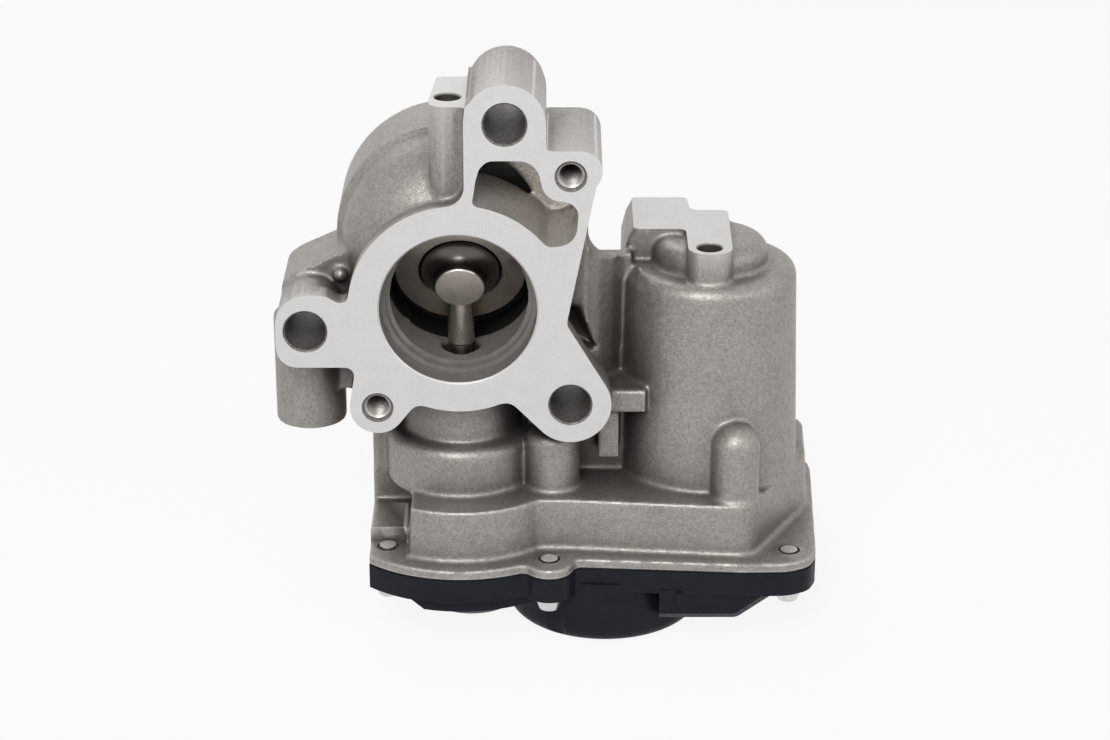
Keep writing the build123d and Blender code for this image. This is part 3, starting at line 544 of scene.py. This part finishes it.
PAINTS = {
    "cast_aluminium": cast_paint("cast_aluminium", CASTING_GREY, shade_share=0.85),
    # Paler copy of the casting as painted light on the kidney port's floor, without painted shade.
    "kidney_lit": cast_paint("kidney_lit_aluminium", KIDNEY_LIT_GREY, shade_share=0.0),
    "machined": machined_paint(),
    "bored": bored_paint(),
    "drilled": drilled_paint(),
    "undercut": undercut_paint(),
    "thread": thread_paint(),
    "pressed_steel": steel_paint("pressed_steel", (0.42, 0.42, 0.42), 0.36),
    "seat_steel": turned_paint("seat_steel", SEAT_STEEL, SEAT_DARK).material,
    "flap_steel": flap_paint(),
    "shaft_steel": steel_paint("shaft_steel", (0.44, 0.4, 0.36), 0.3),
    "spring_steel": steel_paint("spring_steel", (0.35, 0.35, 0.36), 0.32),
    "zinc_steel": steel_paint("zinc_steel", (0.68, 0.68, 0.68), 0.28),
    "bushing_bronze": steel_paint("bushing_bronze", (0.5, 0.36, 0.2), 0.4),
    "brass_gear": steel_paint("brass_gear", (0.72, 0.53, 0.24), 0.3),
    "copper": steel_paint("copper", (0.7, 0.36, 0.22), 0.3),
    "tinned_brass": steel_paint("tinned_brass", (0.72, 0.71, 0.68), 0.3),
    "ferrite": plastic_paint("ferrite", (0.045, 0.045, 0.05), 0.6),
    "armature_iron": steel_paint("armature_iron", (0.2, 0.16, 0.13), 0.5),
    "carbon": plastic_paint("carbon", (0.03, 0.03, 0.03), 0.55),
    "seal_rubber": plastic_paint("seal_rubber", (0.012, 0.012, 0.012), 0.6),
    "cover_plastic": plastic_paint("cover_plastic", (0.0075, 0.0092, 0.0135), 0.45, specular=0.16),
    "cap_plastic": plastic_paint("cap_plastic", (0.17, 0.17, 0.175), 0.5),
    "gear_plastic": plastic_paint("gear_plastic", (0.7, 0.66, 0.56), 0.4),
    "board_green": plastic_paint("board_green", (0.02, 0.14, 0.05), 0.35),
}


def dress_frame():
    """Gives every carried-over node the material of its slot, and the flap its own."""
    slots = {part["node"]: part["material_slot"] for part in frame["record"]["subparts"]}
    for name, node in nodes.items():
        node.data.materials.clear()
        node.data.materials.append(PAINTS["flap_steel" if name == "flap" else slots[name]])


# ---------------------------------------------------------------- casting: its forms
# Stock left on the machined faces while the skin is made, and how far tools stand clear of what they cut.
ALLOWANCE = 3.0
CLEAR = 1.0

# Hollow between the flange and the motor pot: its wall away from the pot and its end as (x, y), the x at
# which it follows the pot, and its stages as height and radius about the pot, below and above.
VALLEY_WALL = [(27.4, 10.0), (28.2, 12.4), (31.0, 14.4), (34.0, 17.4), (36.2, 20.6)]
VALLEY_END = (41.6, 10.0)
VALLEY_ACROSS = [37.0, 38.0, 39.0, 40.0, 41.2]
VALLEY_STAGES = [(-22.6, 20.05, -0.4, 19.4), (-0.5, 19.4, 2.8, 17.2), (2.7, 17.2, 9.0, 17.2)]
# Round scoop above the web between flange and pot: x, z, y from and to, radius.
WEB_SCOOP = (34.3, 11.9, 10.0, 21.5, 5.9)
# Bevelled recess behind the flange's waist, as (x, z) at its mouth and at its floor, and the side they share.
WAIST_MOUTH_Y, WAIST_FLOOR_Y = 9.5, 16.8
WAIST_MOUTH = [(22.5, -3.0), (27.2, -2.6), (36.2, -21.4)]
WAIST_FLOOR = [(22.5, -6.0), (24.4, -5.6), (33.9, -21.5)]
WAIST_EAR_SIDE = [(33.7, -21.8), (32.4, -17.8), (29.5, -14.7), (26.1, -13.4), (22.5, -13.0)]
# Round floor of the kidney port: angles over which it is dug out and filled, depth dug, radius filled from.
KIDNEY_DUG = (44.0, 76.0)
KIDNEY_FILLED = (37.0, 84.0)
KIDNEY_DIG = 3.0
KIDNEY_FILL_R = 19.0
# Leaning left side of the kidney port, as (x, z).
KIDNEY_SIDE = [(1.9, 24.0), (3.4, 25.2), (4.1, 29.7), (4.9, 32.5), (6.4, 33.9), (8.0, 35.0), (1.9, 35.0)]
# Raised band round the left of the rear ring: thickness and angles.
BAND = 3.0
BAND_TURN = (92.0, 245.0)
# Full corner of the upper lug: its axis, radius and left end.
CORNER_X, CORNER_Z, CORNER_R = 26.7, 31.8, 4.6
CORNER_LEFT = 19.0
# Slanted flank left of the motor pad, as (x, z), and how far back it lies.
PAD_FLANK = [(39.0, 10.4), (37.3, 7.0), (36.4, 3.2), (36.2, -4.0), (41.0, -4.0), (41.0, 10.4)]
PAD_FLANK_Y = (24.2, 44.8)
# Web beside the motor pot, as (x, y), and its heights.
WEB = [(23.0, 17.6), (34.0, 17.6), (36.0, 20.0), (37.0, 20.7), (38.4, 20.7), (38.4, 24.0), (23.0, 24.0)]
WEB_Z = (-22.4, 5.2)
# Lump on the left shoulder: x, y, z, radius.
LUMP = (-26.3, 12.5, 3.6, 1.7)

# Stock on the wall of the round port: its depth, and how far it goes outside the mouth and inside the bore.
PORT_PLUG = (9.0, 1.6, 1.0)
PORT_CUT_DEPTH = 8.4
# Plugs that fill the other holes before the skin is made: how much deeper and wider than the hole.
EAR_PLUG = (-0.3, 1.0)
LUG_PLUG = (1.4, 0.6)
PAD_PLUG = (0.6, 0.6)
RIM_PLUG = (0.45, 0.85)
# How much deeper the lugs are drilled than they are tapped.
LUG_DRILL = 0.9
# Blocks milled away: x from and to, y from and to, z from and to.
MILLED = [
    (-45, 40, -12, 0, -38, 56),  # flange
    (-28, 25, RING_BACK, RING_BACK + 9, -18, 39),  # rear ring
    (-60, 100, -30, 80, JOINT_Z - 9, JOINT_Z),  # joint to the cover
    (-23, -12.4, -5, 4.5, RIM_TOP, -53),  # rim at its front left screw
    (-12, 2.2, 1, 27, PADS[0][2], PADS[0][2] + 8),  # left pad
    (36, 63, 5, 48, PADS[1][2], PADS[1][2] + 8),  # motor pad
]
# Chamfers, as depth and width.
PORT_CHAMFER = (0.35, 1.4)
BOLT_CHAMFER = (0.4, 1.4)
LUG_CHAMFER = (0.5, 1.5)
PAD_CHAMFER = (0.3, 1.3)
# Seats of the rim's screws: how much wider than their holes, and how far below and above the rim's top.
RIM_SEAT = (0.55, 0.5, 2.5)


def stocked_casting():
    """Copy of the CAD casting with stock left on every machined face."""
    mesh = nodes["valve_body"].data.copy()
    work = bmesh.new()
    work.from_mesh(mesh)
    bmesh.ops.remove_doubles(work, verts=work.verts, dist=WELD)
    # Planes as axis, side and level.
    planes = [(1, -1, 0.0), (1, 1, RING_BACK * MM), (2, -1, JOINT_Z * MM)]
    planes += [(2, 1, z * MM) for _, _, z, _ in PADS]
    moves = {}
    for face in work.faces:
        for axis, side, level in planes:
            if face.normal[axis] * side > PLANE and abs(face.calc_center_median()[axis] - level) < SAME:
                for vert in face.verts:
                    moves[vert] = (axis, side * (ALLOWANCE * MM))
    for vert, (axis, move) in moves.items():
        vert.co[axis] += move
    work.to_mesh(mesh)
    work.free()
    return mesh


def stock_plugs():
    """Bodies that fill the drilled holes and bores before the skin is made."""
    depth, outside, inside = PORT_PLUG
    plugs = [tube(-ALLOWANCE, depth, PORT_MOUTH_R + outside, PORT_R - inside)]
    for places, hole_depth, hole_r, (deeper, wider) in ((EARS, BOSS_DEPTH, BOLT_HOLE_R, EAR_PLUG),
                                                        (LUGS, LUG_HOLE_DEPTH, THREAD_R, LUG_PLUG)):
        plugs += [drum(x, z, -ALLOWANCE, hole_depth + deeper, hole_r + wider) for x, z in places]
    deeper, wider = PAD_PLUG
    for x, y, z, hole_depth in PADS:
        plugs.append(post(x, y, z - hole_depth - deeper, z + ALLOWANCE, PAD_HOLE_R + wider))
    deeper, wider = RIM_PLUG
    for x, y in RIM_SCREWS:
        plugs.append(post(x, y, JOINT_Z - ALLOWANCE, RIM_TOP + deeper, RIM_HOLE_R + wider))
    return plugs


def beside_pot(radius, z):
    """Outline, at a height, of the hollow between the flange and the motor pot."""
    pot_x, pot_y = POT
    pot = [(x, pot_y - math.sqrt(max(0.0, radius ** 2 - (pot_x - x) ** 2))) for x in VALLEY_ACROSS]
    return [(x, y, z) for x, y in VALLEY_WALL + pot + [VALLEY_END]]


def hollows():
    """Where the casting is hollower than the CAD model."""
    valley = []
    for z0, r0, z1, r1 in VALLEY_STAGES:
        valley.append(loft([beside_pot(r0, z0), beside_pot(r1, z1)], triangles=True))
    mouth = [(x, WAIST_MOUTH_Y, z) for x, z in WAIST_MOUTH + WAIST_EAR_SIDE]
    floor = [(x, WAIST_FLOOR_Y, z) for x, z in WAIST_FLOOR + WAIST_EAR_SIDE]
    return valley + [
        drum(*WEB_SCOOP),
        loft([mouth, floor], triangles=True),
        tube(-CLEAR, KIDNEY_DEPTH, KIDNEY_FLOOR_R + KIDNEY_DIG, KIDNEY_FLOOR_R, 0.0, 0.0, *KIDNEY_DUG),
    ]


def extra_forms():
    """Small forms of the casting that the CAD model leaves out."""
    return [
        tube(-ALLOWANCE, KIDNEY_DEPTH, KIDNEY_FLOOR_R, KIDNEY_FILL_R, 0.0, 0.0, *KIDNEY_FILLED),
        slab(KIDNEY_SIDE, -ALLOWANCE, KIDNEY_DEPTH),
        tube(RING_FRONT, RING_BACK, RING_R, RING_R - BAND, *CHAMBER, *BAND_TURN),
        drum(CORNER_X, CORNER_Z, -ALLOWANCE, BOSS_DEPTH, CORNER_R),
        block(CORNER_LEFT, CORNER_X, -ALLOWANCE, BOSS_DEPTH, CORNER_Z, CORNER_Z + CORNER_R),
        slab(PAD_FLANK, *PAD_FLANK_Y),
        loft([[(x, y, z) for x, y in WEB] for z in WEB_Z], triangles=True),
        ball(*LUMP),
    ]


def chamfer(x, z, r, size, sides=ROUND_SIDES):
    """Cone that bevels the mouth of a hole in the flange."""
    deep, wide = size
    return drum(x, z, -CLEAR, deep, r + wide, r, sides)


def machining():
    """What the milling, boring and drilling takes away from the casting."""
    tools = [block(*corners) for corners in MILLED]
    tools.append(drum(0, 0, -CLEAR, PORT_MOUTH_DEPTH, PORT_MOUTH_R, sides=BORE_SIDES))
    tools.append(drum(0, 0, -CLEAR, PORT_CUT_DEPTH, PORT_R, sides=BORE_SIDES))
    tools.append(chamfer(0, 0, PORT_MOUTH_R, PORT_CHAMFER, BORE_SIDES))
    for places, depth, r, size in ((EARS, BOSS_DEPTH + 2 * CLEAR, BOLT_HOLE_R, BOLT_CHAMFER),
                                   (LUGS, LUG_HOLE_DEPTH + LUG_DRILL, THREAD_R, LUG_CHAMFER)):
        for x, z in places:
            tools.append(drum(x, z, -CLEAR, depth, r))
            tools.append(chamfer(x, z, r, size))
    deep, wide = PAD_CHAMFER
    for x, y, z, depth in PADS:
        tools.append(post(x, y, z - depth, z + CLEAR, PAD_HOLE_R))
        tools.append(post(x, y, z - deep, z + CLEAR, PAD_HOLE_R, PAD_HOLE_R + wide))
    wider, below, above = RIM_SEAT
    for x, y in RIM_SCREWS:
        tools.append(post(x, y, JOINT_Z - CLEAR, RIM_TOP + 2 * CLEAR, RIM_HOLE_R))
        tools.append(post(x, y, RIM_TOP - below, RIM_TOP + above, RIM_HOLE_R + wider))
    return tools


# ---------------------------------------------------------------- casting: its skin
SKIN_PAINTS = ["cast_aluminium", "kidney_lit", "machined", "bored", "drilled", "undercut"]
FLANGE_LOW = -38.0
FLANGE_RIGHT = 42.0
SEAT_BEHIND = 2.0  # how far behind the seat's plane the bored wall ends
CHAMFERED = 0.45  # faces nearer the flange than this belong to it or to a chamfer
HOLE_MARGIN = 1.6
PORT_MARGIN = 0.05
KIDNEY_MARGIN = 0.7
# Share of a normal along an axis that makes a face level, and one that makes it face the front.
LEVEL = 0.99
FACING = 0.6
HOLES = [(*at, BOLT_HOLE_R) for at in EARS] + [(*at, THREAD_R) for at in LUGS]


def face_paint(at, out):
    """Material of a face of the casting, by its centre in metres and its normal."""
    x, z = at.x / MM, at.z / MM
    left, right, low, high = KIDNEY_BOX
    inside = math.hypot(at.x, at.z) < (PORT_MOUTH_R + PORT_MARGIN) * MM and SAME < at.y
    ring = out.y > LEVEL and abs(at.y - RING_BACK * MM) < SAME
    top = out.z > LEVEL and min(abs(at.z - pad[2] * MM) for pad in PADS) < SAME
    flange = (out.y < -FACING and at.y < CHAMFERED * MM
              and at.z > FLANGE_LOW * MM and at.x < FLANGE_RIGHT * MM)
    kidney = left < x < right and low < z < high and at.y > CHAMFERED * MM
    if ring or top or (flange and at.y < SAME):
        return "machined"
    if inside:
        before_seat = (at - SEAT_AT).dot(SEAT_OUT) > -SEAT_BEHIND * MM
        # Faces behind the seat get the undercut paint, near black as painted shade.
        return "bored" if before_seat else "undercut"
    # Hole walls and their chamfers get the drilled paint, darker than the casting as painted shade.
    if at.y > SAME and any(math.hypot(x - hx, z - hz) < r + HOLE_MARGIN for hx, hz, r in HOLES):
        return "drilled"
    # The kidney port's floor gets a paler copy of the casting as painted light.
    if kidney and math.hypot(x, z) > KIDNEY_FLOOR_R - KIDNEY_MARGIN:
        return "kidney_lit"
    return "machined" if flange else "cast_aluminium"


def paint_casting(piece):
    """Gives each face of the casting its material, and keeps the milled faces flat."""
    piece.data.materials.clear()
    for name in SKIN_PAINTS:
        piece.data.materials.append(PAINTS[name])
    for face in piece.data.polygons:
        paint = face_paint(face.center, face.normal)
        face.material_index = SKIN_PAINTS.index(paint)
        chamfered = SAME <= face.center.y <= CHAMFERED * MM
        if paint == "machined" and not chamfered:
            face.use_smooth = False


def casting():
    """The casting with blended inner corners and worn edges, then its machined faces."""
    piece = add("casting", stocked_casting())
    cut(piece, hollows())
    work = bmesh.new()
    work.from_mesh(piece.data)
    for plug in stock_plugs() + extra_forms():
        work.from_mesh(plug)
    work.to_mesh(piece.data)
    work.free()
    piece.data.materials.clear()
    skin = piece.modifiers.new("skin", "REMESH")
    skin.mode = "VOXEL"
    skin.voxel_size = VOXEL * MM
    soften = piece.modifiers.new("soften", "SMOOTH")
    soften.factor = SMOOTHING_FACTOR
    soften.iterations = SMOOTHING
    settle(piece)
    triangles = sum(len(face.vertices) - 2 for face in piece.data.polygons)
    thin = piece.modifiers.new("thin", "DECIMATE")
    thin.ratio = min(1.0, SKIN_FACES / triangles)
    settle(piece)
    cut(piece, machining())
    shade(piece, SKIN_SHARP)
    paint_casting(piece)
    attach(piece, "housing")
    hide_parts("valve_body")


# ---------------------------------------------------------------- pieces of their own
# Ridge of a thread: how deep it starts, how far it sinks into the wall, half its width at root and crest.
THREAD_START = 0.9
THREAD_SUNK = 0.12
THREAD_ROOT_HALF = 0.48
THREAD_CREST_HALF = 0.07
# Sleeve of the valve shaft, as height and radius.
SLEEVE = [(-15.2, 2.6), (-14.8, 3.0), (-5.6, 3.0), (-4.6, 3.2), (-3.4, 3.3)]


def thread(x, z, number):
    """Ridge of a tapped M6 hole, as a closed helical strip."""
    turns = int(LUG_HOLE_DEPTH / THREAD_PITCH) - 1
    root_r = THREAD_R + THREAD_SUNK
    profile = [(root_r, -THREAD_ROOT_HALF), (THREAD_CREST_R, -THREAD_CREST_HALF),
               (THREAD_CREST_R, THREAD_CREST_HALF), (root_r, THREAD_ROOT_HALF)]
    outlines = []
    for i in range(THREAD_STEPS * turns + 1):
        turn = 2 * math.pi * i / THREAD_STEPS
        deep = THREAD_START + THREAD_PITCH * i / THREAD_STEPS
        outlines.append([(x + r * math.cos(turn), deep + s, z + r * math.sin(turn)) for r, s in profile])
    piece = add(f"thread_{number}", loft(outlines))
    piece.data.materials.append(PAINTS["thread"])
    shade(piece, PIECE_SHARP)
    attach(piece, "housing")


def shaft_sleeve():
    """Thicker part of the valve shaft, between the flap's hub and the floor of the port."""
    turns = [2 * math.pi * i / SLEEVE_SIDES for i in range(SLEEVE_SIDES)]
    outlines = [[(r * math.cos(t), VALVE_Y + r * math.sin(t), z) for t in turns] for z, r in SLEEVE]
    piece = add("shaft_sleeve", loft(outlines))
    piece.data.materials.append(PAINTS["shaft_steel"])
    shade(piece, PIECE_SHARP)
    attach(piece, "flap_shaft")


# ---------------------------------------------------------------- studio
# Places and sizes here are in metres, the lens and the sensor in millimetres, lamps in watts.
CAMERA_AT = (0.0211, -0.5846, 0.2353)
CAMERA_PITCH = 23.1
CAMERA_LENS = 94.05
CAMERA_SENSOR = 36.0
CAMERA_CLIP = 0.01
# Lamps: name, place, size, power.
LAMPS = [
    ("key", (-0.12, -0.75, 0.62), 0.45, 6.2),
    ("fill", (0.7, -0.5, 0.35), 0.6, 1.2),
    ("back", (-0.2, 0.6, 0.6), 0.5, 1.0),
]
LAMP_TARGET = (0.02, 0.02, -0.01)
WORLD_LIGHT = (0.95, 0.97, 1.0, 1.0)
WORLD_STRENGTH = 0.24
FLOOR_DROP = 0.0003
FLOOR_HALF = 6.0
FLOOR_COLOUR = (0.85, 0.85, 0.86, 1.0)
FLOOR_ROUGHNESS = 0.9
FLOOR_GLOW = 0.9


def studio_camera():
    """Camera that was fitted to the photo."""
    data = bpy.data.cameras.new("camera")
    data.sensor_width = CAMERA_SENSOR
    data.lens = CAMERA_LENS
    data.clip_start = CAMERA_CLIP
    camera = bpy.data.objects.new("camera", data)
    camera.location = CAMERA_AT
    camera.rotation_euler = (math.radians(90 - CAMERA_PITCH), 0, 0)
    bpy.context.scene.collection.objects.link(camera)
    bpy.context.scene.camera = camera


def softbox(name, at, size, power):
    """Square area lamp that faces the object."""
    data = bpy.data.lights.new(name, "AREA")
    data.shape = "SQUARE"
    data.size = size
    data.energy = power
    lamp = bpy.data.objects.new(name, data)
    lamp.location = at
    lamp.rotation_euler = (Vector(LAMP_TARGET) - Vector(at)).to_track_quat("-Z", "Y").to_euler()
    bpy.context.scene.collection.objects.link(lamp)


def white_to_camera(tree, plain, seen):
    """Shows one shader to camera, glossy and transmission rays, and another to the rest."""
    path = tree.nodes.new("ShaderNodeLightPath")
    total = path.outputs["Is Camera Ray"]
    for name in ("Is Glossy Ray", "Is Transmission Ray"):
        either = tree.nodes.new("ShaderNodeMath")
        either.operation = "MAXIMUM"
        tree.links.new(total, either.inputs[0])
        tree.links.new(path.outputs[name], either.inputs[1])
        total = either.outputs[0]
    mix = tree.nodes.new("ShaderNodeMixShader")
    tree.links.new(total, mix.inputs[0])
    tree.links.new(plain, mix.inputs[1])
    tree.links.new(seen, mix.inputs[2])
    return mix.outputs[0]


def studio_world():
    """Dim world that lights the object and is white to the camera."""
    world = bpy.data.worlds.new("studio")
    world.use_nodes = True
    tree = world.node_tree
    dim = tree.nodes["Background"]
    dim.inputs["Color"].default_value = WORLD_LIGHT
    dim.inputs["Strength"].default_value = WORLD_STRENGTH
    white = tree.nodes.new("ShaderNodeBackground")
    white.inputs["Color"].default_value = (1.0, 1.0, 1.0, 1.0)
    white.inputs["Strength"].default_value = 1.0
    out = white_to_camera(tree, dim.outputs[0], white.outputs[0])
    tree.links.new(out, tree.nodes["World Output"].inputs["Surface"])
    bpy.context.scene.world = world


def studio_floor():
    """Pale floor just under the object, nearly white to the camera, with a faint shadow."""
    low = cad_box[0].z - FLOOR_DROP
    work = bmesh.new()
    half = FLOOR_HALF
    corners = [(-half, -half), (half, -half), (half, half), (-half, half)]
    work.faces.new([work.verts.new((x, y, low)) for x, y in corners])
    floor = add("floor", mesh_of("floor", work))
    material = bpy.data.materials.new("floor")
    material.use_nodes = True
    tree = material.node_tree
    plain = tree.nodes["Principled BSDF"]
    plain.inputs["Base Color"].default_value = FLOOR_COLOUR
    plain.inputs["Roughness"].default_value = FLOOR_ROUGHNESS
    glow = tree.nodes.new("ShaderNodeEmission")
    share = tree.nodes.new("ShaderNodeMixShader")
    share.inputs[0].default_value = FLOOR_GLOW
    tree.links.new(plain.outputs[0], share.inputs[1])
    tree.links.new(glow.outputs[0], share.inputs[2])
    out = white_to_camera(tree, plain.outputs[0], share.outputs[0])
    tree.links.new(out, tree.nodes["Material Output"].inputs["Surface"])
    floor.data.materials.append(material)


# ---------------------------------------------------------------- build
dress_frame()
casting()
for number, (lug_x, lug_z) in enumerate(LUGS):
    thread(lug_x, lug_z, number)
shaft_sleeve()
studio_camera()
studio_world()
studio_floor()
for lamp_settings in LAMPS:
    softbox(*lamp_settings)
bpy.context.scene.view_settings.view_transform = "Standard"
